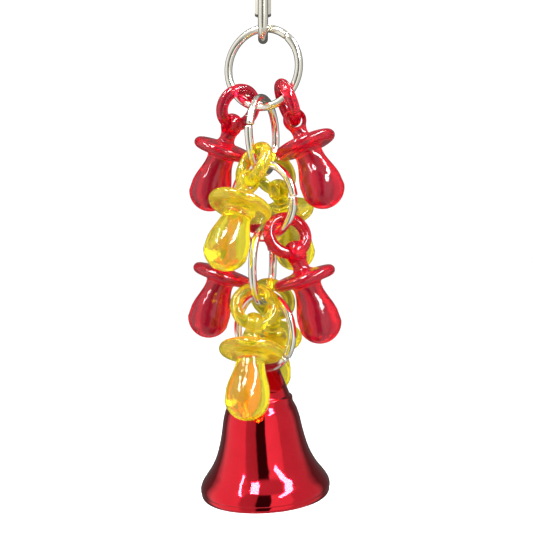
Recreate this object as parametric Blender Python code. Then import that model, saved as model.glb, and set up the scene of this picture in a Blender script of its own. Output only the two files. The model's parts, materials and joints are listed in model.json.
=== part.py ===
"""Hanging chain with a quick link, five metal rings, eight clear pacifier charms and a bell.

Built in metres from sizes in millimetres. The origin is the inner top of the quick link,
where the chain hangs, with +Z up and the front of the chain facing -Y.
"""

from collections import namedtuple
from math import copysign, cos, pi, radians, sin, sqrt

import bpy
from mathutils import Matrix, Vector

MM = 0.001
GAP = 0.3  # clearance left between pieces that touch

# Quick link
LINK_WIRE = 3.5
LINK_LENGTH = 34.0
LINK_WIDTH = 16.5
LINK_OPENING = (-18.4, -14.9)  # lower and upper end of the opening in the rear leg
NUT_FLATS = 5.8
NUT_BORE = 4.2
NUT_BOTTOM = -19.4
NUT_LENGTH = 10.0

# Metal rings
RING_WIRE = 2.8
RING_RADIUS = (13.6, 12.9, 12.9, 12.9, 12.9)  # centre line
RING_YAW = (-26, 69, -37, 74, -43)  # degrees about +Z, 0 facing the front
RING_SLIDE = (0, 0, 0, 8, 0)  # degrees from its lowest point to where the next one hangs
RING_SEAM = (27, 150, 26, 3, -18)  # degrees from the ring's right side to its butt joint
SEAM_GAP = 0.5

# Pacifier charms
HANDLE_RADIUS = 6.5  # centre line
HANDLE_WIRE = 4.2
KNOB_RADIUS = 4.0
NIPPLE_RADIUS = 7.6
NIPPLE_CENTRE = -24.9
CHARM_PROFILE = (  # radius and height of the lathe profile, from the centre of the knob
    (4.0, 0.0),
    (3.6, -1.8),
    (2.9, -3.1),
    (2.7, -5.2),
    (3.6, -6.8),
    (9.6, -7.5),
    (10.9, -8.4),
    (10.9, -10.2),
    (9.6, -11.1),
    (5.4, -11.4),
    (4.8, -12.4),
    (5.0, -14.6),
    (6.2, -18.6),
    (7.3, -22.3),
)
KNOB_FLARE = ((2.6, 0.0), (2.75, 1.1), (3.15, 2.6), (4.6, 5.0))

# One row per charm. ring: the metal ring it hangs on. around: where on that ring, in
# degrees from its lowest point. lean and back: how far the body leans right and back.
# turn: of the handle about the body. swing: of the handle about the joint in the knob.
# slip: how far round its own handle the metal wire sits.
Charm = namedtuple("Charm", "ring around lean back turn swing slip color")
RED = (0.80, 0.005, 0.05)
YELLOW = (0.95, 0.72, 0.0)
CHARMS = (
    Charm(1, -35, -19, 11, -34, -5, 19, RED),
    Charm(1, 37, 22, -7, 84, 0, -29, RED),
    Charm(2, -45, -17, -23, 53, 1, -31, YELLOW),
    Charm(2, 35, 16, 24, 29, -1, -12, YELLOW),
    Charm(3, -41, -18, 1, -33, -15, 22, RED),
    Charm(3, 39, 19, -1, -23, 16, -20, RED),
    Charm(4, -31, -5, -26, -5, 4, 13, YELLOW),
    Charm(4, 40, -1, 23, 22, -8, -23, YELLOW),
)

# Bell, with its heights measured from the shoulder
BELL_WALL = 0.9
BELL_LEAN = 3.3  # degrees, mouth to the right
BELL_YAW = 30  # degrees that the eye's front hole faces right of the front
BELL_SHIFT = 2.3  # the ring bears this far to the right of the crown's middle
BELL_HANG = 9.7  # height of the ring's wire in the crown
BELL_PROFILE = (
    (2.4, 14.3),
    (4.3, 13.3),
    (5.8, 11.8),
    (7.6, 8.3),
    (10.4, 0.5),
    (11.2, -0.5),
    (11.5, -2.2),
    (12.5, -4.4),
    (13.4, -7.6),
    (14.3, -12.7),
    (15.5, -17.3),
    (16.8, -20.7),
    (18.4, -23.5),
    (20.0, -25.7),
    (21.5, -27.7),
    (22.4, -29.7),
    (22.5, -31.7),
    (21.6, -33.7),
)
BELL_TOP = 14.6
EYE_WIDTH = 11.4
EYE_HEIGHT = 10.6
EYE_CENTRE = 7.8
EYE_SQUARENESS = 3.5  # 2 is an ellipse, and more has fuller corners

# Clapper
BAR_RADIUS = 0.9
BAR_HEIGHT = -1.2
BAR_REACH = 9.7  # from its middle to each end, short of the wall
HOOK_WIRE = 1.2
HOOK_RADIUS = 2.2  # centre line of the eye round the bar
BALL_RADIUS = 4.6
BALL_DROP = 22.0  # from the bar to the middle of the ball


def clear_scene():
    for obj in list(bpy.data.objects):
        bpy.data.objects.remove(obj, do_unlink=True)


def material(name, color, metallic, roughness, transmission=0.0):
    mat = bpy.data.materials.get(name)
    if mat:
        return mat
    mat = bpy.data.materials.new(name)
    mat.use_nodes = True
    shader = mat.node_tree.nodes["Principled BSDF"]
    shader.inputs["Base Color"].default_value = (*color, 1.0)
    shader.inputs["Metallic"].default_value = metallic
    shader.inputs["Roughness"].default_value = roughness
    shader.inputs["Transmission Weight"].default_value = transmission
    mat.diffuse_color = (*color, 1.0)
    return mat


def add_object(name, points, faces, mat, placed, smooth=True):
    """A mesh from points in millimetres, in the frame that `placed` puts in the world."""
    mesh = bpy.data.meshes.new(name)
    mesh.from_pydata([tuple(c * MM for c in point) for point in points], [], faces)
    mesh.validate()
    for face in mesh.polygons:
        face.use_smooth = smooth
    obj = bpy.data.objects.new(name, mesh)
    obj.data.materials.append(mat)
    obj.matrix_world = placed
    bpy.context.scene.collection.objects.link(obj)
    return obj


def frame(x, y, z, origin):
    """A matrix with these axes and an origin in millimetres."""
    rows = Matrix((x, y, z)).transposed().to_4x4()
    rows.translation = Vector(origin) * MM
    return rows


def tube(path, normal, radius, sides, closed):
    """A round bar along a flat path, with flat ends where it is open."""
    points = []
    faces = []
    count = len(path)
    for i, point in enumerate(path):
        before = path[i - 1] if i or closed else point
        after = path[(i + 1) % count] if i + 1 < count or closed else point
        out = (after - before).normalized().cross(normal)
        for k in range(sides):
            turn = 2 * pi * k / sides
            points.append(point + radius * (cos(turn) * out + sin(turn) * normal))
    for i in range(count if closed else count - 1):
        a = i * sides
        b = (i + 1) % count * sides
        for k in range(sides):
            n = (k + 1) % sides
            faces.append((a + k, b + k, b + n, a + n))
    if not closed:
        faces.append(tuple(range(sides)))
        faces.append(tuple(range((count - 1) * sides + sides - 1, (count - 1) * sides - 1, -1)))
    return points, faces


def lathe(profile, steps, top=None, bottom=None):
    """A solid turned about Z. It ends in a point at each height given, or joins up."""
    points = []
    faces = []
    rows = len(profile)
    for radius, height in profile:
        for k in range(steps):
            turn = 2 * pi * k / steps
            points.append((radius * cos(turn), radius * sin(turn), height))
    for i in range(rows if top is None else rows - 1):
        a = i * steps
        b = (i + 1) % rows * steps
        for k in range(steps):
            n = (k + 1) % steps
            faces.append((a + k, b + k, b + n, a + n))
    if top is not None:
        points += [(0, 0, top), (0, 0, bottom)]
        last = (rows - 1) * steps
        for k in range(steps):
            n = (k + 1) % steps
            faces.append((rows * steps, k, n))
            faces.append((rows * steps + 1, last + n, last + k))
    return points, faces


def cut(obj, points, faces, placed):
    """Takes a hidden cutter out of an object."""
    cutter = add_object(obj.name + "_cutter", points, faces, obj.data.materials[0], placed)
    cutter.hide_render = True
    cutter.display_type = "WIRE"
    boolean = obj.modifiers.new("cut", "BOOLEAN")
    boolean.operation = "DIFFERENCE"
    boolean.solver = "EXACT"
    boolean.object = cutter


def link_path():
    """Centre line of the link's wire in its YZ plane, from one side of the opening to the other."""
    half = (LINK_WIDTH - LINK_WIRE) / 2
    top = LINK_WIRE / 2 - half
    low = LINK_WIRE / 2 - (LINK_LENGTH - LINK_WIRE) + half
    steps = 12
    path = [Vector((0, half, LINK_OPENING[1]))]
    for i in range(steps + 1):
        turn = pi * i / steps
        path.append(Vector((0, half * cos(turn), top + half * sin(turn))))
    for i in range(steps + 1):
        turn = pi + pi * i / steps
        path.append(Vector((0, half * cos(turn), low + half * sin(turn))))
    path.append(Vector((0, half, LINK_OPENING[0])))
    return path


def link_bottom():
    """Height of the wire's centre line at the bottom of the link."""
    return LINK_WIRE / 2 - (LINK_LENGTH - LINK_WIRE)


def build_link(metal):
    points, faces = tube(link_path(), Vector((1, 0, 0)), LINK_WIRE / 2, 10, False)
    add_object("link_body", points, faces, metal, Matrix())
    corner = NUT_FLATS / sqrt(3)
    points = []
    for height in (0, NUT_LENGTH):
        for radius, turned in ((corner, 0), (NUT_BORE / 2, 0)):
            for k in range(12):
                turn = 2 * pi * k / 12
                # Corners of the hexagon, and the middles of its flats.
                reach = radius if radius < corner or k % 2 == 0 else NUT_FLATS / 2
                points.append((reach * cos(turn), reach * sin(turn), height))
    faces = []
    for k in range(12):
        n = (k + 1) % 12
        faces.append((k, n, 24 + n, 24 + k))
        faces.append((12 + n, 12 + k, 36 + k, 36 + n))
        faces.append((24 + k, 24 + n, 36 + n, 36 + k))
        faces.append((n, k, 12 + k, 12 + n))
    leg = (LINK_WIDTH - LINK_WIRE) / 2
    placed = Matrix.Translation(Vector((0, leg, NUT_BOTTOM)) * MM)
    add_object("link_nut", points, faces, metal, placed, smooth=False)


def wire_point(radius, right, centre, around):
    """The point on a ring's centre line this many degrees from its lowest one."""
    turn = radians(around)
    return centre + radius * (sin(turn) * right - cos(turn) * Vector((0, 0, 1)))


def ring_frames():
    """For each ring: its right, back and up directions, its centre and the point it hangs from."""
    frames = []
    hang = Vector((0, 0, link_bottom()))
    drop = LINK_WIRE / 2 + RING_WIRE / 2 + GAP
    for radius, yaw, slide in zip(RING_RADIUS, RING_YAW, RING_SLIDE):
        right = Vector((cos(radians(yaw)), sin(radians(yaw)), 0))
        back = Vector((-sin(radians(yaw)), cos(radians(yaw)), 0))
        centre = hang + Vector((0, 0, drop - radius))
        frames.append((right, back, Vector((0, 0, 1)), centre, hang))
        hang = wire_point(radius, right, centre, slide)
        drop = RING_WIRE + GAP
    return frames


def build_ring(index, placing, metal):
    right, back, up, centre, hang = placing
    radius = RING_RADIUS[index]
    steps = 28
    half_gap = SEAM_GAP / 2 / radius
    first = radians(RING_SEAM[index]) + half_gap
    sweep = 2 * pi - 2 * half_gap
    offset = centre - hang
    shift = Vector((offset.dot(right), offset.dot(back), offset.dot(up)))
    path = []
    for i in range(steps + 1):
        turn = first + sweep * i / steps
        path.append(shift + radius * Vector((cos(turn), 0, sin(turn))))
    points, faces = tube(path, Vector((0, -1, 0)), RING_WIRE / 2, 8, False)
    add_object(f"ring_{index + 1}", points, faces, metal, frame(right, back, up, hang))


def charm_frames(charm, placing):
    """The wire point a charm hangs from, the centres of its handle and knob, and its directions."""
    right, _, _, centre, _ = placing
    wire = wire_point(RING_RADIUS[charm.ring - 1], right, centre, charm.around)
    lean = sin(radians(charm.lean)) / cos(radians(charm.lean))
    back = sin(radians(charm.back)) / cos(radians(charm.back))
    down = Vector((lean, back, -1)).normalized()
    side = Vector((1, 0, 0)) - down * down.x
    side = Matrix.Rotation(radians(charm.turn), 3, down) @ side.normalized()
    reach = Matrix.Rotation(radians(-charm.swing), 3, side) @ down
    normal = side.cross(reach)
    to_wire = Matrix.Rotation(radians(charm.slip), 3, normal) @ -reach
    middle = wire - (HANDLE_RADIUS - HANDLE_WIRE / 2 - RING_WIRE / 2 - GAP) * to_wire
    knob = middle + HANDLE_RADIUS * reach
    return wire, middle, knob, side, normal, down


def build_handle(name, wire, middle, side, normal, plastic):
    """The charm's ring. Its origin is on the metal wire it hangs from."""
    across = normal.cross(side)
    offset = middle - wire
    shift = Vector((offset.dot(side), offset.dot(across), offset.dot(normal)))
    steps = 20
    path = []
    for i in range(steps):
        turn = 2 * pi * i / steps
        path.append(shift + HANDLE_RADIUS * Vector((cos(turn), sin(turn), 0)))
    points, faces = tube(path, Vector((0, 0, 1)), HANDLE_WIRE / 2, 8, True)
    add_object(name, points, faces, plastic, frame(side, across, normal, wire))


def charm_profile():
    """The charm's profile from the top of the knob to the end of the nipple."""
    profile = []
    for turn in (60, 30):
        profile.append((KNOB_RADIUS * cos(radians(turn)), KNOB_RADIUS * sin(radians(turn))))
    profile += CHARM_PROFILE
    for turn in (0, -28, -56):
        radius = NIPPLE_RADIUS * cos(radians(turn))
        profile.append((radius, NIPPLE_CENTRE + NIPPLE_RADIUS * sin(radians(turn))))
    return profile


def build_charm_body(name, knob, side, down, plastic):
    """Knob, neck, shield and nipple in one piece. Its origin is the middle of the knob."""
    points, faces = lathe(charm_profile(), 14, KNOB_RADIUS, NIPPLE_CENTRE - NIPPLE_RADIUS)
    up = -down
    placed = frame(side, up.cross(side), up, knob)
    body = add_object(name, points, faces, plastic, placed)
    flare = [(radius, reach) for radius, reach in reversed(KNOB_FLARE)]
    flare += [(radius, -reach) for radius, reach in KNOB_FLARE[1:]]
    end = KNOB_FLARE[-1][1]
    points, faces = lathe(flare, 16, end, -end)
    cut(body, points, faces, placed @ Matrix.Rotation(pi / 2, 4, "Y"))


def bell_frame(placing):
    """The bell's directions and the middle of its shoulder, from the ring it hangs on."""
    hang = placing[3] - Vector((0, 0, RING_RADIUS[4]))
    up = Vector((-sin(radians(BELL_LEAN)), 0, cos(radians(BELL_LEAN))))
    right = Matrix.Rotation(radians(BELL_YAW), 3, up) @ Vector((up.z, 0, -up.x))
    back = up.cross(right)
    shoulder = hang - BELL_SHIFT * right - BELL_HANG * up
    return right, back, up, shoulder, hang


def inset(profile, wall):
    """The profile moved in by the wall thickness, square to each part of it."""
    moved = []
    for i, (radius, height) in enumerate(profile):
        before = profile[max(i - 1, 0)]
        after = profile[min(i + 1, len(profile) - 1)]
        along = Vector((after[0] - before[0], after[1] - before[1])).normalized()
        moved.append((radius + wall * along.y, height - wall * along.x))
    return moved


def build_bell(placing, red_metal):
    """Drawn shell with a hollow crown, open through both sides. Its origin is on the ring's wire."""
    right, back, up, shoulder, hang = placing
    placed = frame(right, back, up, shoulder)
    inner = inset(BELL_PROFILE, BELL_WALL)
    inner[-1] = (inner[-1][0], BELL_PROFILE[-1][1])
    profile = list(BELL_PROFILE) + inner[::-1]
    points, faces = lathe(profile, 28, BELL_TOP, BELL_TOP - BELL_WALL)
    offset = hang - shoulder
    shift = Vector((offset.dot(right), offset.dot(back), offset.dot(up)))
    points = [Vector(point) - shift for point in points]
    bell = add_object("bell_shell", points, faces, red_metal, frame(right, back, up, hang))
    hole = [Vector((across, 0, height)) for across, height in eye_outline(24)]
    points = [point + Vector((0, -15, 0)) for point in hole]
    points += [point + Vector((0, 15, 0)) for point in hole]
    faces = [tuple(range(23, -1, -1)), tuple(range(24, 48))]
    faces += [(k, (k + 1) % 24, 24 + (k + 1) % 24, 24 + k) for k in range(24)]
    cut(bell, points, [face[::-1] for face in faces], placed)


def eye_outline(steps):
    """The eye's outline: a superellipse, so that the ring's wire has room in its upper corners."""
    outline = []
    for i in range(steps):
        turn = 2 * pi * (i + 0.5) / steps
        across = copysign(abs(cos(turn)) ** (2 / EYE_SQUARENESS), cos(turn))
        rise = copysign(abs(sin(turn)) ** (2 / EYE_SQUARENESS), sin(turn))
        outline.append((EYE_WIDTH / 2 * across, EYE_CENTRE + EYE_HEIGHT / 2 * rise))
    return outline


def build_clapper(placing, metal):
    """A bar across the foot of the crown, with a wire eye that carries the ball."""
    right, back, up, shoulder, _ = placing
    pivot = shoulder + BAR_HEIGHT * up
    placed = frame(right, back, up, pivot)
    ends = [Vector((-BAR_REACH, 0, 0)), Vector((BAR_REACH, 0, 0))]
    points, faces = tube(ends, Vector((0, 0, 1)), BAR_RADIUS, 12, False)
    add_object("clapper_bar", points, faces, metal, placed)

    points, faces = tube(hook_path(), Vector((1, 0, 0)), HOOK_WIRE / 2, 8, False)
    add_object("clapper_hook", points, faces, metal, placed)
    points, faces = lathe(ball_profile(), 16)
    add_object("clapper_ball", points, faces, metal, placed)


def hook_path():
    """Centre line of the clapper's wire: an eye round the bar, a shank and a foot under the ball."""
    middle = Vector((0, 0, BAR_RADIUS + GAP + HOOK_WIRE / 2 - HOOK_RADIUS))
    path = []
    for i in range(11):
        turn = radians(-50 - 270 * i / 10)
        path.append(middle + HOOK_RADIUS * Vector((0, sin(turn), -cos(turn))))
    path.append(middle + Vector((0, 0.5, -HOOK_RADIUS - 0.6)))
    path.append(middle + Vector((0, 0, -HOOK_RADIUS - 1.8)))
    path.append(Vector((0, 0, -BALL_DROP - BALL_RADIUS - HOOK_WIRE)))
    return path


def ball_profile():
    """A ball with a bore for the clapper's wire."""
    bore = HOOK_WIRE / 2 + GAP
    rise = sqrt(BALL_RADIUS**2 - bore**2)
    profile = [(bore, rise - BALL_DROP)]
    for turn in (60, 36, 12, -12, -36, -60):
        radius = BALL_RADIUS * cos(radians(turn))
        profile.append((radius, BALL_RADIUS * sin(radians(turn)) - BALL_DROP))
    profile.append((bore, -rise - BALL_DROP))
    return profile


def main():
    clear_scene()
    nickel = material("polished_nickel", (0.80, 0.78, 0.74), 1.0, 0.12)
    red_metal = material("red_metal", (0.62, 0.004, 0.02), 1.0, 0.10)
    plastics = {
        RED: material("clear_red", RED, 0.0, 0.06, 1.0),
        YELLOW: material("clear_yellow", YELLOW, 0.0, 0.06, 1.0),
    }
    build_link(nickel)
    rings = ring_frames()
    for index, placing in enumerate(rings):
        build_ring(index, placing, nickel)
    for number, charm in enumerate(CHARMS, 1):
        plastic = plastics[charm.color]
        wire, middle, knob, side, normal, down = charm_frames(charm, rings[charm.ring - 1])
        build_handle(f"pacifier_{number}_handle", wire, middle, side, normal, plastic)
        build_charm_body(f"pacifier_{number}_body", knob, side, down, plastic)
    placing = bell_frame(rings[4])
    build_bell(placing, red_metal)
    build_clapper(placing, nickel)


main()
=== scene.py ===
"""Looks of the hanging bell chain: nickel link and rings, clear charms and a candy-red bell.

Every piece is rebuilt finely in millimetres, in its own local frame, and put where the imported
model has it. Local frames come from the record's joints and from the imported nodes.
"""

import json
from math import copysign, cos, exp, pi, radians, sin, sqrt

import bpy
import numpy as np
from mathutils import Matrix, Vector


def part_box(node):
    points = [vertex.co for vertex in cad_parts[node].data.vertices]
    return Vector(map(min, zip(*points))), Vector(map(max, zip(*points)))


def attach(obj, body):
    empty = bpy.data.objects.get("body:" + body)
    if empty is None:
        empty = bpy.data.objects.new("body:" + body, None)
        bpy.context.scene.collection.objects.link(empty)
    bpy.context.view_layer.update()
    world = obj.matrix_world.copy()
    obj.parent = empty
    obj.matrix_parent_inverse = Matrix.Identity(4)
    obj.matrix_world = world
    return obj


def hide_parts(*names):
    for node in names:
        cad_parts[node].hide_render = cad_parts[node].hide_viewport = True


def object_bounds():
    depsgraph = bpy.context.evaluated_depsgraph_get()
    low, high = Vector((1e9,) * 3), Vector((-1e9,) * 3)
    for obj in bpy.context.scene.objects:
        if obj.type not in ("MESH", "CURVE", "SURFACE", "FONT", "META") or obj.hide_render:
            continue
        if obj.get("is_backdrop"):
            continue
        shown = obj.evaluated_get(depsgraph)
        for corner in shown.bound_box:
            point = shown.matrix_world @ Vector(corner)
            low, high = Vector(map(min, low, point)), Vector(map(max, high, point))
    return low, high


MM = 0.001

# Sizes in millimetres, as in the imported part
GAP = 0.3
LINK_WIRE = 3.5
NUT_FLATS = 5.8
NUT_BORE = 4.2
NUT_CHAMFER = 0.35
OPENING_FROM_NUT = (-4.0, -0.5)
END_ROUND = 0.25
RING_WIRE = 2.8
SEAM_GAP = 0.4
SEAM_STEP = 0.22
HANDLE_WIRE = 4.2
KNOB_RADIUS = 4.0
NIPPLE_RADIUS = 7.42
NIPPLE_CENTRE = -24.9
BELL_WALL = 0.9
BELL_TOP = 14.6
EYE_WIDTH = 11.4
EYE_HEIGHT = 10.6
EYE_CENTRE = 7.8
EYE_SQUARENESS = 3.5
BAR_RADIUS = 0.9
BAR_HEIGHT = -1.2
HOOK_WIRE = 1.2
HOOK_RADIUS = 2.2
BALL_RADIUS = 4.6

# The rows of the nut's hexagon, from an end: the depth, and the largest radius left there
NUT_CORNERS = ((0, 2.72), (0.22, 3.0), (0.5, 3.2), (0.8, 9))

CHARM_OUTLINE = (  # radius and height from the knob's middle, on a smooth curve
    (3.97, 0.5),
    (3.98, -0.4),
    (3.6, -1.8),
    (2.95, -3.0),
    (2.68, -4.2),
    (2.72, -5.4),
    (3.25, -6.4),
    (4.8, -6.95),
    (7.4, -7.2),
    (9.3, -7.5),
    (10.35, -8.15),
    (10.8, -9.3),
    (10.35, -10.45),
    (9.3, -11.1),
    (7.2, -11.3),
    (5.7, -11.5),
    (4.95, -12.1),
    (4.8, -13.3),
    (5.05, -15.2),
    (5.75, -17.6),
    (6.6, -20.2),
    (7.12, -22.6),
)
KNOB_FLARE = ((2.6, 0.0), (2.66, 0.6), (2.85, 1.5), (3.2, 2.6), (3.8, 3.8), (4.6, 5.0))
BELL_CROWN = (  # radius and height from the shoulder
    (1.2, 14.52),
    (2.4, 14.25),
    (4.3, 13.3),
    (5.8, 11.75),
    (6.8, 10.1),
    (7.65, 8.2),
    (9.0, 4.3),
    (10.15, 0.95),
)
BELL_SHOULDER = ((10.28, 0.55), (10.5, 0.32), (10.85, 0.15), (11.1, -0.1), (11.2, -0.5), (11.16, -1.1))
BELL_FLANK = (
    (11.3, -2.0),
    (11.85, -3.1),
    (12.5, -4.5),
    (13.35, -7.6),
    (14.25, -12.4),
    (15.45, -17.2),
    (16.8, -20.8),
    (18.45, -23.8),
    (20.2, -26.2),
    (21.6, -28.2),
    (22.3, -29.9),
    (22.4, -31.2),
)
BELL_LIP = (
    (22.25, -31.55),
    (22.1, -31.7),
    (22.2, -32.0),
    (22.15, -32.6),
    (21.95, -33.1),
    (21.65, -33.5),
    (21.3, -33.68),
    (20.95, -33.6),
    (20.8, -33.3),
    (20.85, -32.6),
)


def local_frame(x, y, z, origin):
    """A matrix with these axes, which takes millimetres to a place in metres."""
    rotation = Matrix((x, y, z)).transposed().to_4x4()
    return Matrix.Translation(Vector(origin)) @ rotation @ Matrix.Scale(MM, 4)


def spline(points, per_span):
    """A smooth curve through the points, as a list of points along it."""
    pts = [Vector(p) for p in points]
    pts = [2 * pts[0] - pts[1]] + pts + [2 * pts[-1] - pts[-2]]
    curve = []
    for i in range(1, len(pts) - 2):
        a, b, c, d = pts[i - 1 : i + 3]
        for k in range(per_span):
            t = k / per_span
            curve.append(
                0.5 * (2 * b + (c - a) * t + (2 * a - 5 * b + 4 * c - d) * t * t
                       + (3 * b - a - 3 * c + d) * t**3)
            )
    curve.append(pts[-2].copy())
    return curve


def grid_faces(rows, columns, join_rows):
    """Faces of a grid of points whose columns join up, and whose rows may."""
    faces = []
    for i in range(rows if join_rows else rows - 1):
        a = i * columns
        b = (i + 1) % rows * columns
        for k in range(columns):
            n = (k + 1) % columns
            faces.append((a + k, b + k, b + n, a + n))
    return faces


def lathe(profile, steps, closed):
    """Points and faces turned about Z. An open profile starts and ends on the axis."""
    rings = profile if closed else profile[1:-1]
    points = []
    for radius, height in rings:
        for k in range(steps):
            turn = 2 * pi * k / steps
            points.append((radius * cos(turn), radius * sin(turn), height))
    faces = grid_faces(len(rings), steps, closed)
    if not closed:
        first = len(points)
        points += [(0, 0, profile[0][1]), (0, 0, profile[-1][1])]
        last = (len(rings) - 1) * steps
        for k in range(steps):
            n = (k + 1) % steps
            faces.append((first, k, n))
            faces.append((first + 1, last + n, last + k))
    return points, faces


def tube(path, normal, radii, sides, closed=False):
    """A round bar along a flat path. Where it is open, its ends are rounded off by the radii."""
    points = []
    count = len(path)
    for i, point in enumerate(path):
        before = path[i - 1] if i or closed else point
        after = path[(i + 1) % count] if i + 1 < count or closed else point
        out = (after - before).normalized().cross(normal)
        for k in range(sides):
            turn = 2 * pi * k / sides
            points.append(point + radii[i] * (cos(turn) * out + sin(turn) * normal))
    faces = grid_faces(count, sides, closed)
    if not closed:
        faces.append(tuple(range(sides)))
        faces.append(tuple(range(count * sides - 1, (count - 1) * sides - 1, -1)))
    return points, faces


def new_mesh(name, points, faces):
    mesh = bpy.data.meshes.new(name)
    mesh.from_pydata([tuple(p) for p in points], [], faces)
    mesh.validate()
    mesh.polygons.foreach_set("use_smooth", [True] * len(mesh.polygons))
    return mesh


def cut(mesh, cutter, sharp):
    """The mesh with the cutter's mesh taken out of it, and its edges above an angle kept sharp."""
    obj = bpy.data.objects.new("cut", mesh)
    tool = bpy.data.objects.new("tool", cutter)
    bpy.context.scene.collection.objects.link(obj)
    bpy.context.scene.collection.objects.link(tool)
    boolean = obj.modifiers.new("cut", "BOOLEAN")
    boolean.operation = "DIFFERENCE"
    boolean.solver = "EXACT"
    boolean.object = tool
    bpy.context.view_layer.update()
    evaluated = obj.evaluated_get(bpy.context.evaluated_depsgraph_get())
    made = bpy.data.meshes.new_from_object(evaluated)
    bpy.data.objects.remove(obj)
    bpy.data.objects.remove(tool)
    made.set_sharp_from_angle(angle=radians(sharp))
    return made


def put(name, mesh, placed, mat, body, node):
    """One finished piece: its mesh in the row frame, riding on its body in its node's place."""
    mesh = mesh.copy()
    mesh.transform(placed)
    mesh.materials.clear()
    mesh.materials.append(mat)
    obj = bpy.data.objects.new(name, mesh)
    bpy.context.scene.collection.objects.link(obj)
    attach(obj, body)
    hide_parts(node)
    return obj


def node_points(node):
    """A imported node's points in metres, as rows."""
    mesh = frame["nodes"][node].data
    points = np.zeros(len(mesh.vertices) * 3)
    mesh.vertices.foreach_get("co", points)
    return np.unique(np.round(points.reshape(-1, 3), 7), axis=0)


def joint(name):
    """A joint's point and axis in the row frame."""
    found = [j for j in frame["joints"] if j["name"] == name][0]
    return Vector(found.get("pos_m", (0, 0, 0))), Vector(found["axis"])


def fitted_ring(node):
    """The centre, the normal and the centre line's radius of a ring-shaped node."""
    points = node_points(node)
    middle = points.mean(0)
    across, _, normal = np.linalg.svd(points - middle, full_matrices=False)[2]
    up = np.cross(normal, across)
    flat = np.stack([(points - middle) @ across, (points - middle) @ up], 1)
    # Least squares circle: x^2 + y^2 = 2ax + 2by + c
    rows = np.c_[2 * flat, np.ones(len(flat))]
    a, b, _ = np.linalg.lstsq(rows, (flat**2).sum(1), rcond=None)[0]
    centre = middle + a * across + b * up
    reach = np.linalg.norm(points - centre, axis=1)
    radius = float(reach.max() + reach.min()) / 2 / MM
    return Vector(centre), Vector(normal), radius, points


# ---------------------------------------------------------------- metal


def build_link(mat):
    """Quick link: a bent wire with an opening in its rear leg, and a hexagonal sleeve nut."""
    low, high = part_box("link_body")
    half = ((high.y - low.y) / MM - LINK_WIRE) / 2
    top = high.z / MM - LINK_WIRE / 2 - half
    bottom = low.z / MM + LINK_WIRE / 2 + half
    nut_low, nut_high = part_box("link_nut")
    centre = (nut_low.z + nut_high.z) / 2 / MM
    lower, upper = (centre + offset for offset in OPENING_FROM_NUT)
    bend = [(half * cos(pi * k / 40), half * sin(pi * k / 40)) for k in range(41)]
    path = [Vector((0, half, upper)), Vector((0, half, upper + END_ROUND))]
    path += [Vector((0, half, upper + (top - upper) * k / 6)) for k in range(1, 6)]
    path += [Vector((0, back, top + rise)) for back, rise in bend]
    path += [Vector((0, -half, top + (bottom - top) * k / 8)) for k in range(1, 8)]
    path += [Vector((0, -back, bottom - rise)) for back, rise in bend]
    path += [Vector((0, half, lower - END_ROUND)), Vector((0, half, lower))]
    radius = LINK_WIRE / 2
    radii = [radius - END_ROUND] + [radius] * (len(path) - 2) + [radius - END_ROUND]
    points, faces = tube(path, Vector((1, 0, 0)), radii, 36)
    mesh = new_mesh("link_body", points, faces)
    put("quick_link", mesh, Matrix.Scale(MM, 4), mat, "link", "link_body")
    build_nut(mat, half, nut_low.z / MM, nut_high.z / MM)


def build_nut(mat, leg, low, high):
    """A hexagon whose corners are turned down at both ends, with a countersunk bore."""
    per_side = 10
    outline = []
    for k in range(6 * per_side):
        turn = 2 * pi * k / (6 * per_side)
        outline.append((turn, NUT_FLATS / 2 / cos((turn + pi / 6) % (pi / 3) - pi / 6)))
    limits = [(low + depth, limit) for depth, limit in NUT_CORNERS]
    limits += [(high - depth, limit) for depth, limit in NUT_CORNERS[::-1]]
    rows = [[(min(r, limit), turn, height) for turn, r in outline] for height, limit in limits]
    bore = NUT_BORE / 2
    wide = bore + NUT_CHAMFER
    inside = ((wide, high), (bore, high - NUT_CHAMFER), (bore, low + NUT_CHAMFER), (wide, low))
    for radius, height in inside:
        rows.append([(radius, turn, height) for turn, _ in outline])
    points = [(r * cos(turn), r * sin(turn), height) for row in rows for r, turn, height in row]
    faces = grid_faces(len(rows), len(outline), True)
    mesh = new_mesh("link_nut", points, [face[::-1] for face in faces])
    mesh.set_sharp_from_angle(angle=radians(24))
    placed = Matrix.Translation((0, leg * MM, 0)) @ Matrix.Scale(MM, 4)
    put("quick_link_nut", mesh, placed, mat, "nut", "link_nut")


def seam_turn(points, centre, right, up):
    """Where a ring's seam is: the middle of the widest gap in its packed points."""
    flat = [((Vector(p) - centre).dot(right), (Vector(p) - centre).dot(up)) for p in points]
    across, rise = np.array(flat).T
    turns = np.sort(np.arctan2(rise, across))
    steps = np.diff(np.r_[turns, turns[0] + 2 * pi])
    return float(turns[steps.argmax()] + steps.max() / 2)


def build_ring(number, mat):
    """A jump ring bent from wire. Its cut ends don't quite line up where they meet."""
    node = f"ring_{number}"
    centre, normal, radius, points = fitted_ring(node)
    normal = -normal if normal.y > 0 else normal
    up = (Vector((0, 0, 1)) - normal * normal.z).normalized()
    right = up.cross(normal)
    seam = seam_turn(points, centre, right, up)
    half = SEAM_GAP / 2 / radius
    path = []
    radii = []
    count = 200
    for i in range(count + 1):
        part = i / count
        turn = seam + half + (2 * pi - 2 * half) * part
        from_end = min(part, 1 - part) * 2 * pi * radius
        side = 1 if part < 0.5 else -1
        off = SEAM_STEP * side * exp(-((from_end / 4) ** 2))
        path.append(Vector((radius * cos(turn), off, radius * sin(turn))))
        radii.append(RING_WIRE / 2 - SEAM_STEP * max(0, 1 - from_end / 0.35) ** 2)
    points, faces = tube(path, Vector((0, -1, 0)), radii, 32)
    mesh = new_mesh(node, points, faces)
    placed = local_frame(right, -normal, up, centre)
    put(f"jump_ring_{number}", mesh, placed, mat, node, node)


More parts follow.
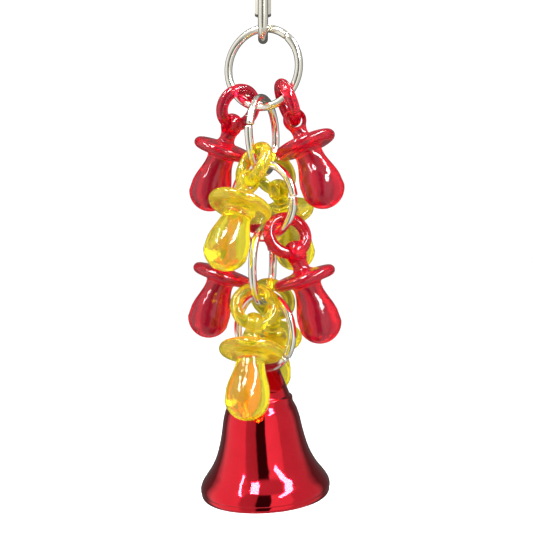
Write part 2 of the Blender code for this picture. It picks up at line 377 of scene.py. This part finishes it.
# ---------------------------------------------------------------- charms


def handle_mesh(radius):
    """A moulded ring with a faint raised line where the mould's halves met."""
    count = 96
    sides = 40
    points = []
    for i in range(count):
        turn = 2 * pi * i / count
        out = Vector((cos(turn), sin(turn), 0))
        for k in range(sides):
            around = 2 * pi * k / sides
            reach = HANDLE_WIRE / 2 - 0.03 + (0.05 if k % (sides // 2) == 0 else 0)
            points.append(out * (radius + reach * cos(around)) + Vector((0, 0, reach * sin(around))))
    return new_mesh("handle", points, grid_faces(count, sides, True))


def charm_mesh():
    """Knob, neck, shield and nipple, with the eye through the knob."""
    profile = [(0, KNOB_RADIUS)]
    knob = [radians(t) for t in range(84, 6, -6)]
    profile += [(KNOB_RADIUS * cos(turn), KNOB_RADIUS * sin(turn)) for turn in knob]
    profile += [tuple(p) for p in spline(CHARM_OUTLINE, 4)]
    for t in range(-14, -90, -6):
        turn = radians(t)
        profile.append((NIPPLE_RADIUS * cos(turn), NIPPLE_CENTRE + NIPPLE_RADIUS * sin(turn)))
    profile.append((0, NIPPLE_CENTRE - NIPPLE_RADIUS))
    points, faces = lathe(profile, 64, False)
    body = new_mesh("charm", points, faces)
    half = [tuple(p) for p in spline(KNOB_FLARE, 4)]
    flare = [(0, 5.0)] + half[::-1] + [(r, -h) for r, h in half[1:]] + [(0, -5.0)]
    points, faces = lathe(flare, 48, False)
    cutter = new_mesh("eye", points, faces)
    cutter.transform(Matrix.Rotation(pi / 2, 4, "Y"))
    return cut(body, cutter, 50)


def build_charm(number, body_mesh, mats):
    """One charm's ring and body, on the frames of its two hinges."""
    node = f"pacifier_{number}_handle"
    slot = [s["material_slot"] for s in frame["record"]["subparts"] if s["node"] == node][0]
    centre, normal, radius, _ = fitted_ring(node)
    knob, side = joint(f"pacifier_{number}_nod")
    across = normal.cross(side).normalized()
    ring = local_frame(across.cross(normal), across, normal, centre)
    mesh = handle_mesh(radius)
    put(f"charm_{number}_ring", mesh, ring, mats[slot], f"pacifier_{number}_ring", node)
    node = f"pacifier_{number}_body"
    points = node_points(node)
    up = (knob - Vector(points.mean(0))).normalized()
    up = (up - side * up.dot(side)).normalized()
    placed = local_frame(side, up.cross(side), up, knob)
    put(f"charm_{number}_body", body_mesh, placed, mats[slot], f"pacifier_{number}", node)


# ---------------------------------------------------------------- bell


def bell_axes():
    """The bell's frame at its shoulder, from the clapper's bar and ball."""
    pivot, side = joint("clapper_swing")
    ball = Vector(node_points("clapper_ball").mean(0))
    up = (pivot - ball).normalized()
    side = (side - up * side.dot(up)).normalized()
    return side, up.cross(side), up, pivot - BAR_HEIGHT * MM * up


def bell_profile():
    """Outside from the crown down to the rolled lip, then inside back up to the crown."""
    outer = [tuple(p) for p in spline(BELL_CROWN, 5)]
    outer += [tuple(p) for p in spline(BELL_SHOULDER, 3)]
    outer += [tuple(p) for p in spline(BELL_FLANK, 6)]
    inner = []
    for i in range(len(outer) - 1, 0, -1):
        before = Vector(outer[i - 1])
        after = Vector(outer[min(i + 1, len(outer) - 1)])
        along = (after - before).normalized()
        inner.append((outer[i][0] + BELL_WALL * along.y, outer[i][1] - BELL_WALL * along.x))
    inner = [(radius, height) for radius, height in inner if height > -31.4]
    top = [(0, BELL_TOP)]
    return top + outer + [tuple(p) for p in spline(BELL_LIP, 3)] + inner + [(0, BELL_TOP - BELL_WALL)]


def eye_outline(steps):
    """The eye's outline: a superellipse with full corners."""
    outline = []
    for i in range(steps):
        turn = 2 * pi * (i + 0.5) / steps
        across = copysign(abs(cos(turn)) ** (2 / EYE_SQUARENESS), cos(turn))
        rise = copysign(abs(sin(turn)) ** (2 / EYE_SQUARENESS), sin(turn))
        outline.append((EYE_WIDTH / 2 * across, EYE_CENTRE + EYE_HEIGHT / 2 * rise))
    return outline


def bell_mesh():
    points, faces = lathe(bell_profile(), 160, False)
    bell = new_mesh("bell", points, faces)
    steps = 72
    points = [(x, y, z) for y in (15, -15) for x, z in eye_outline(steps)]
    faces = [tuple(range(steps - 1, -1, -1)), tuple(range(steps, 2 * steps))]
    faces += [(k, (k + 1) % steps, steps + (k + 1) % steps, steps + k) for k in range(steps)]
    cutter = new_mesh("eye", points, faces)
    return cut(bell, cutter, 40)


def build_bell(red, nickel):
    side, back, up, shoulder = bell_axes()
    placed = local_frame(side, back, up, shoulder)
    put("bell", bell_mesh(), placed, red, "bell", "bell_shell")
    build_clapper(side, back, up, nickel)


def along_axis(node, pivot, axis):
    """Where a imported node's points are along an axis, in millimetres from the pivot."""
    return (node_points(node) - np.array(pivot)) @ np.array(axis) / MM


def bar_mesh(half):
    """A round bar with softened ends."""
    path = [Vector((x, 0, 0)) for x in (-half, -half + 0.15, 0, half - 0.15, half)]
    radii = [BAR_RADIUS - 0.15, BAR_RADIUS, BAR_RADIUS, BAR_RADIUS, BAR_RADIUS - 0.15]
    points, faces = tube(path, Vector((0, 0, 1)), radii, 24)
    return new_mesh("bar", points, faces)


def ball_mesh(drop):
    """A ball with a bore for the wire, below the bar by the drop."""
    bore = HOOK_WIRE / 2 + GAP
    start = sqrt(BALL_RADIUS**2 - bore**2)
    profile = [(bore, -drop + start), (bore + 0.12, -drop + start - 0.02)]
    for turn in [radians(t) for t in range(72, -78, -6)]:
        profile.append((BALL_RADIUS * cos(turn), -drop + BALL_RADIUS * sin(turn)))
    profile += [(bore + 0.12, -drop - start + 0.02), (bore, -drop - start)]
    points, faces = lathe(profile, 48, True)
    return new_mesh("ball", points, faces)


def hook_mesh(drop):
    """A wire eye round the bar, whose tail runs down through the ball."""
    middle = Vector((0, 0, BAR_RADIUS + GAP + HOOK_WIRE / 2 - HOOK_RADIUS))
    bends = []
    for i in range(21):
        turn = radians(-50 - 270 * i / 20)
        bends.append(middle + HOOK_RADIUS * Vector((0, sin(turn), -cos(turn))))
    bends.append(middle + Vector((0, 0.5, -HOOK_RADIUS - 0.6)))
    bends.append(middle + Vector((0, 0.05, -HOOK_RADIUS - 2.0)))
    bends.append(middle + Vector((0, 0, -HOOK_RADIUS - 4.0)))
    bends.append(Vector((0, 0, -drop - BALL_RADIUS - HOOK_WIRE)))
    path = spline(bends, 4)
    points, faces = tube(path, Vector((1, 0, 0)), [HOOK_WIRE / 2] * len(path), 20)
    return new_mesh("hook", points, faces)


def build_clapper(side, back, up, mat):
    pivot, _ = joint("clapper_swing")
    placed = local_frame(side, back, up, pivot)
    half = float(np.abs(along_axis("clapper_bar", pivot, side)).max())
    ball = along_axis("clapper_ball", pivot, up)
    drop = -float(ball.max() + ball.min()) / 2
    pieces = (
        ("bell_bar", bar_mesh(half), "bell", "clapper_bar"),
        ("clapper_ball_fine", ball_mesh(drop), "clapper", "clapper_ball"),
        ("clapper_wire", hook_mesh(drop), "clapper", "clapper_hook"),
    )
    for name, mesh, body, node in pieces:
        put(name, mesh, placed, mat, body, node)


# ---------------------------------------------------------------- materials


def shader_material(name):
    """A material with only its Principled shader and output, and a function that adds nodes."""
    mat = bpy.data.materials.new(name)
    mat.use_nodes = True
    tree = mat.node_tree
    shader = tree.nodes["Principled BSDF"]

    def add(kind, **values):
        node = tree.nodes.new(kind)
        for key, value in values.items():
            if key in node.inputs:
                node.inputs[key].default_value = value
            else:
                setattr(node, key, value)
        return node

    return mat, tree.links.new, shader, add


def noise(add, link, coordinates, scale, detail):
    """Noise over the object, at a scale in details per metre."""
    node = add("ShaderNodeTexNoise", Scale=scale, Detail=detail)
    link(coordinates, node.inputs["Vector"])
    return node.outputs["Fac"]


def ramp_between(add, link, factor, low, high):
    """The factor 0.3 to 0.7 of a noise taken to the numbers low to high."""
    node = add("ShaderNodeMapRange")
    node.inputs["From Min"].default_value = 0.3
    node.inputs["From Max"].default_value = 0.7
    node.inputs["To Min"].default_value = low
    node.inputs["To Max"].default_value = high
    link(factor, node.inputs["Value"])
    return node.outputs["Result"]


def nickel_material():
    """Polished nickel plate: tiny dents, fine wiping scratches and a slightly warm, uneven tone."""
    mat, link, shader, add = shader_material("polished_nickel_plate")
    place = add("ShaderNodeTexCoord").outputs["Object"]
    tone = add("ShaderNodeMix", data_type="RGBA")
    tone.inputs["A"].default_value = (0.76, 0.73, 0.61, 1)
    tone.inputs["B"].default_value = (0.90, 0.88, 0.79, 1)
    link(noise(add, link, place, 260, 3), tone.inputs["Factor"])
    link(tone.outputs["Result"], shader.inputs["Base Color"])
    shader.inputs["Metallic"].default_value = 1.0
    wear = noise(add, link, place, 300, 3)
    link(ramp_between(add, link, wear, 0.13, 0.2), shader.inputs["Roughness"])
    stretch = add("ShaderNodeMapping")
    stretch.inputs["Scale"].default_value = (1, 1, 0.12)
    link(place, stretch.inputs["Vector"])
    fine = noise(add, link, stretch.outputs["Vector"], 2500, 2)
    dents = noise(add, link, place, 420, 2)
    bump = add("ShaderNodeBump", Strength=0.02, Distance=0.0002)
    link(fine, bump.inputs["Height"])
    wavy = add("ShaderNodeBump", Strength=0.1, Distance=0.0004)
    link(dents, wavy.inputs["Height"])
    link(wavy.outputs["Normal"], bump.inputs["Normal"])
    link(bump.outputs["Normal"], shader.inputs["Normal"])
    return mat


def plastic_material(name, tint, deep, density):
    """Clear tinted plastic, moulded solid: it darkens with depth and its surface is softly wavy."""
    mat, link, shader, add = shader_material(name)
    place = add("ShaderNodeTexCoord").outputs["Object"]
    tone = add("ShaderNodeMix", data_type="RGBA")
    tone.inputs["A"].default_value = (*tint, 1)
    tone.inputs["B"].default_value = (*(c * 0.9 for c in tint), 1)
    link(noise(add, link, place, 300, 2), tone.inputs["Factor"])
    link(tone.outputs["Result"], shader.inputs["Base Color"])
    shader.inputs["Transmission Weight"].default_value = 0.9
    shader.inputs["IOR"].default_value = 1.5
    wear = noise(add, link, place, 700, 3)
    link(ramp_between(add, link, wear, 0.01, 0.06), shader.inputs["Roughness"])
    waves = add("ShaderNodeBump", Strength=0.35, Distance=0.0006)
    link(noise(add, link, place, 330, 2), waves.inputs["Height"])
    marks = add("ShaderNodeBump", Strength=0.08, Distance=0.0002)
    link(noise(add, link, place, 2600, 3), marks.inputs["Height"])
    link(waves.outputs["Normal"], marks.inputs["Normal"])
    link(marks.outputs["Normal"], shader.inputs["Normal"])
    inside = add("ShaderNodeVolumeAbsorption", Density=density)
    inside.inputs["Color"].default_value = (*deep, 1)
    output = mat.node_tree.nodes["Material Output"]
    link(inside.outputs["Volume"], output.inputs["Volume"])
    return mat


def red_metal_material():
    """Bright metal under transparent red lacquer, with faint spinning marks and small dents."""
    mat, link, shader, add = shader_material("candy_red_metal")
    place = add("ShaderNodeTexCoord").outputs["Object"]
    tone = add("ShaderNodeMix", data_type="RGBA")
    tone.inputs["A"].default_value = (0.70, 0.004, 0.016, 1)
    tone.inputs["B"].default_value = (0.86, 0.010, 0.030, 1)
    link(noise(add, link, place, 140, 3), tone.inputs["Factor"])
    link(tone.outputs["Result"], shader.inputs["Base Color"])
    shader.inputs["Metallic"].default_value = 1.0
    wear = noise(add, link, place, 500, 4)
    link(ramp_between(add, link, wear, 0.03, 0.09), shader.inputs["Roughness"])
    shader.inputs["Coat Weight"].default_value = 0.6
    shader.inputs["Coat IOR"].default_value = 1.4
    shader.inputs["Coat Roughness"].default_value = 0.03
    squeeze = add("ShaderNodeMapping")
    squeeze.inputs["Scale"].default_value = (0.05, 0.05, 1)
    link(place, squeeze.inputs["Vector"])
    rings = add("ShaderNodeBump", Strength=0.06, Distance=0.0002)
    link(noise(add, link, squeeze.outputs["Vector"], 2500, 2), rings.inputs["Height"])
    dents = add("ShaderNodeBump", Strength=0.2, Distance=0.0005)
    link(noise(add, link, place, 160, 2), dents.inputs["Height"])
    link(rings.outputs["Normal"], dents.inputs["Normal"])
    link(dents.outputs["Normal"], shader.inputs["Normal"])
    return mat


# ---------------------------------------------------------------- studio


FLOOR_DROP = 0.12
FLOOR_SIZE = 12.0
SOFTBOX_DISTANCE = 0.9
SOFTBOX_RADIANCE = 34
BACKDROP_STRENGTH = 1.08
CAMERA_DISTANCE = 0.3
CAMERA_DROP = 0.0969
CAMERA_LENS = 58.4
CAMERA_SHIFT = (0.0066, -0.0779)


def build_floor():
    """A wide pale floor below the hanging object."""
    low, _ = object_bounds()
    height = low.z - FLOOR_DROP
    half = FLOOR_SIZE / 2
    points = [(x, y, height) for x, y in ((-half, -half), (half, -half), (half, half), (-half, half))]
    mesh = bpy.data.meshes.new("floor")
    mesh.from_pydata(points, [], [(0, 1, 2, 3)])
    mat, link, shader, add = shader_material("pale_floor")
    place = add("ShaderNodeTexCoord").outputs["Object"]
    link(
        ramp_between(add, link, noise(add, link, place, 3, 2), 0.55, 0.65), shader.inputs["Roughness"]
    )
    shader.inputs["Base Color"].default_value = (0.93, 0.93, 0.93, 1)
    shader.inputs["Specular IOR Level"].default_value = 0
    mesh.materials.append(mat)
    floor = bpy.data.objects.new("floor", mesh)
    bpy.context.scene.collection.objects.link(floor)
    floor.visible_glossy = False
    floor.visible_transmission = False
    floor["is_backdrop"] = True


def direction(azimuth, elevation):
    """A direction from the object. Azimuth 0 is the camera's side, and positive is to its right."""
    a = radians(azimuth)
    e = radians(elevation)
    return Vector((sin(a) * cos(e), -cos(a) * cos(e), sin(e)))


def bar_light(name, start, end, width):
    """A long softbox, seen from the object between two directions."""
    low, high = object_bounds()
    target = (low + high) / 2
    first = direction(*start) * SOFTBOX_DISTANCE
    second = direction(*end) * SOFTBOX_DISTANCE
    along = (second - first).normalized()
    middle = (first + second) / 2
    away = (middle - along * middle.dot(along)).normalized()
    light = bpy.data.lights.new(name, "AREA")
    light.shape = "RECTANGLE"
    light.size = width
    light.size_y = (second - first).length
    light.energy = SOFTBOX_RADIANCE * pi * light.size * light.size_y
    obj = bpy.data.objects.new(name, light)
    obj.matrix_world = local_frame(along.cross(away), along, away, target + middle).normalized()
    bpy.context.scene.collection.objects.link(obj)


def build_lights():
    bar_light("softbox_left", (-30, 46), (-40, 72), 0.2)
    bar_light("softbox_far_left", (-52, 30), (-88, 54), 0.06)
    bar_light("softbox_right", (24, 27), (96, 53), 0.13)


# Azimuth from the camera's side, positive to its right, and how bright the room is there: first
# as gloss shows it, then as the clear plastic shows it.
ROOM_IN_GLOSS = (
    (-180, (0.12, 0.12, 0.12)),
    (-126, (0.12, 0.12, 0.12)),
    (-106, (0.95, 0.95, 0.95)),
    (-50, (1.0, 1.0, 1.0)),
    (-45, (0.55, 0.55, 0.55)),
    (-20, (0.50, 0.50, 0.50)),
    (-16, (0.035, 0.035, 0.035)),
    (7, (0.035, 0.035, 0.035)),
    (10, (1.1, 1.1, 1.1)),
    (46, (1.0, 1.0, 1.0)),
    (50, (0.65, 0.65, 0.65)),
    (104, (0.60, 0.60, 0.60)),
    (122, (0.12, 0.12, 0.12)),
    (180, (0.12, 0.12, 0.12)),
)
ROOM_THROUGH_PLASTIC = (
    (-180, (0.09, 0.12, 0.09)),
    (-165, (0.13, 0.16, 0.12)),
    (-158, (0.42, 0.44, 0.42)),
    (-142, (0.42, 0.44, 0.42)),
    (-136, (1.0, 1.0, 1.0)),
    (-40, (1.1, 1.1, 1.1)),
    (-16, (0.35, 0.35, 0.35)),
    (12, (0.35, 0.35, 0.35)),
    (40, (1.1, 1.1, 1.1)),
    (128, (1.0, 1.0, 1.0)),
    (134, (0.12, 0.15, 0.11)),
    (152, (0.12, 0.15, 0.11)),
    (157, (0.40, 0.42, 0.40)),
    (166, (0.40, 0.42, 0.40)),
    (172, (0.09, 0.12, 0.09)),
    (180, (0.09, 0.12, 0.09)),
)


def world_nodes(tree):
    """A function that adds a node, and one that adds a Math node fed with sockets or numbers."""

    def add(kind, **values):
        node = tree.nodes.new(kind)
        for key, value in values.items():
            setattr(node, key, value)
        return node

    def maths(operation, a, b=None):
        node = add("ShaderNodeMath", operation=operation)
        for socket, value in zip(node.inputs, (a, b)):
            if isinstance(value, (int, float)):
                socket.default_value = value
            elif value is not None:
                tree.links.new(value, socket)
        return node.outputs[0]

    return add, maths


def room(tree, add, share, height, bands, ceiling):
    """A room lit in upright bands, with an even ceiling, as a Background shader."""
    node = add("ShaderNodeValToRGB")
    ramp = node.color_ramp
    while len(ramp.elements) > 1:
        ramp.elements.remove(ramp.elements[-1])
    ramp.elements[0].position = 0
    ramp.elements[0].color = (*bands[0][1], 1)
    for angle, colour in bands[1:]:
        ramp.elements.new(angle / 360 + 0.5).color = (*colour, 1)
    tree.links.new(share, node.inputs["Fac"])
    upper = add("ShaderNodeMix", data_type="RGBA")
    upper.inputs["B"].default_value = (*ceiling, 1)
    tree.links.new(height, upper.inputs["Factor"])
    tree.links.new(node.outputs["Color"], upper.inputs["A"])
    shader = add("ShaderNodeBackground")
    tree.links.new(upper.outputs["Result"], shader.inputs["Color"])
    return shader.outputs[0]


def build_world():
    """White behind the object and all round for soft light. Gloss and glass see a studio."""
    world = bpy.data.worlds.new("studio")
    world.use_nodes = True
    bpy.context.scene.world = world
    tree = world.node_tree
    tree.nodes.clear()
    link = tree.links.new
    add, maths = world_nodes(tree)
    split = add("ShaderNodeSeparateXYZ")
    link(add("ShaderNodeTexCoord").outputs["Generated"], split.inputs[0])
    x, y, z = split.outputs
    azimuth = maths("ARCTAN2", x, maths("MULTIPLY", y, -1.0))
    share = maths("ADD", maths("DIVIDE", azimuth, 2 * pi), 0.5)
    height = add("ShaderNodeMapRange", interpolation_type="SMOOTHSTEP")
    height.inputs["From Min"].default_value = 0.70
    height.inputs["From Max"].default_value = 0.80
    link(maths("ABSOLUTE", z), height.inputs["Value"])
    gloss = room(tree, add, share, height.outputs["Result"], ROOM_IN_GLOSS, (0.6, 0.6, 0.6))
    inside = room(tree, add, share, height.outputs["Result"], ROOM_THROUGH_PLASTIC, (1.0, 1.0, 1.0))
    plain = add("ShaderNodeBackground")
    plain.inputs["Color"].default_value = (1, 1, 1, 1)
    plain.inputs["Strength"].default_value = BACKDROP_STRENGTH
    path = add("ShaderNodeLightPath")
    pick = add("ShaderNodeMixShader")
    link(path.outputs["Is Glossy Ray"], pick.inputs["Fac"])
    link(plain.outputs[0], pick.inputs[1])
    link(gloss, pick.inputs[2])
    last = add("ShaderNodeMixShader")
    link(path.outputs["Is Transmission Ray"], last.inputs["Fac"])
    link(pick.outputs[0], last.inputs[1])
    link(inside, last.inputs[2])
    link(last.outputs[0], add("ShaderNodeOutputWorld").inputs["Surface"])


def build_camera():
    """Level with the chain's middle and in front of it, with the picture cut below its axis."""
    _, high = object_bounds()
    camera = bpy.data.cameras.new("camera")
    camera.sensor_width = 36
    camera.lens = CAMERA_LENS
    camera.shift_x, camera.shift_y = CAMERA_SHIFT
    camera.clip_start = 0.01
    obj = bpy.data.objects.new("camera", camera)
    obj.location = (0, -CAMERA_DISTANCE, high.z - CAMERA_DROP)
    obj.rotation_euler = (pi / 2, 0, 0)
    bpy.context.scene.collection.objects.link(obj)
    bpy.context.scene.camera = obj
    bpy.context.scene.view_settings.view_transform = "Standard"


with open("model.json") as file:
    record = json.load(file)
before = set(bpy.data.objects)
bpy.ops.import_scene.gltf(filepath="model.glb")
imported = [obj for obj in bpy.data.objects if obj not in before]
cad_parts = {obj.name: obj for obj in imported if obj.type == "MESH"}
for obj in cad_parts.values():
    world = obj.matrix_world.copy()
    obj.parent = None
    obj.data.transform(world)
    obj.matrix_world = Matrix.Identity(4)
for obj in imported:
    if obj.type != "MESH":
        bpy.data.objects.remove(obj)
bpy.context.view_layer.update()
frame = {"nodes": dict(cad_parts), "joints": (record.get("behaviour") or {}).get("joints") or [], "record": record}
nickel = nickel_material()
red_metal = red_metal_material()
plastics = {
    "clear_red": plastic_material("clear_red_plastic", (0.93, 0.02, 0.08), (0.99, 0.04, 0.16), 200),
    "clear_yellow": plastic_material(
        "clear_yellow_plastic", (1.0, 0.90, 0.05), (1.0, 0.95, 0.10), 120
    ),
}
build_floor()
build_link(nickel)
for ring_number in range(1, 6):
    build_ring(ring_number, nickel)
shared_charm = charm_mesh()
for charm_number in range(1, 9):
    build_charm(charm_number, shared_charm, plastics)
build_bell(red_metal, nickel)
build_lights()
build_world()
build_camera()
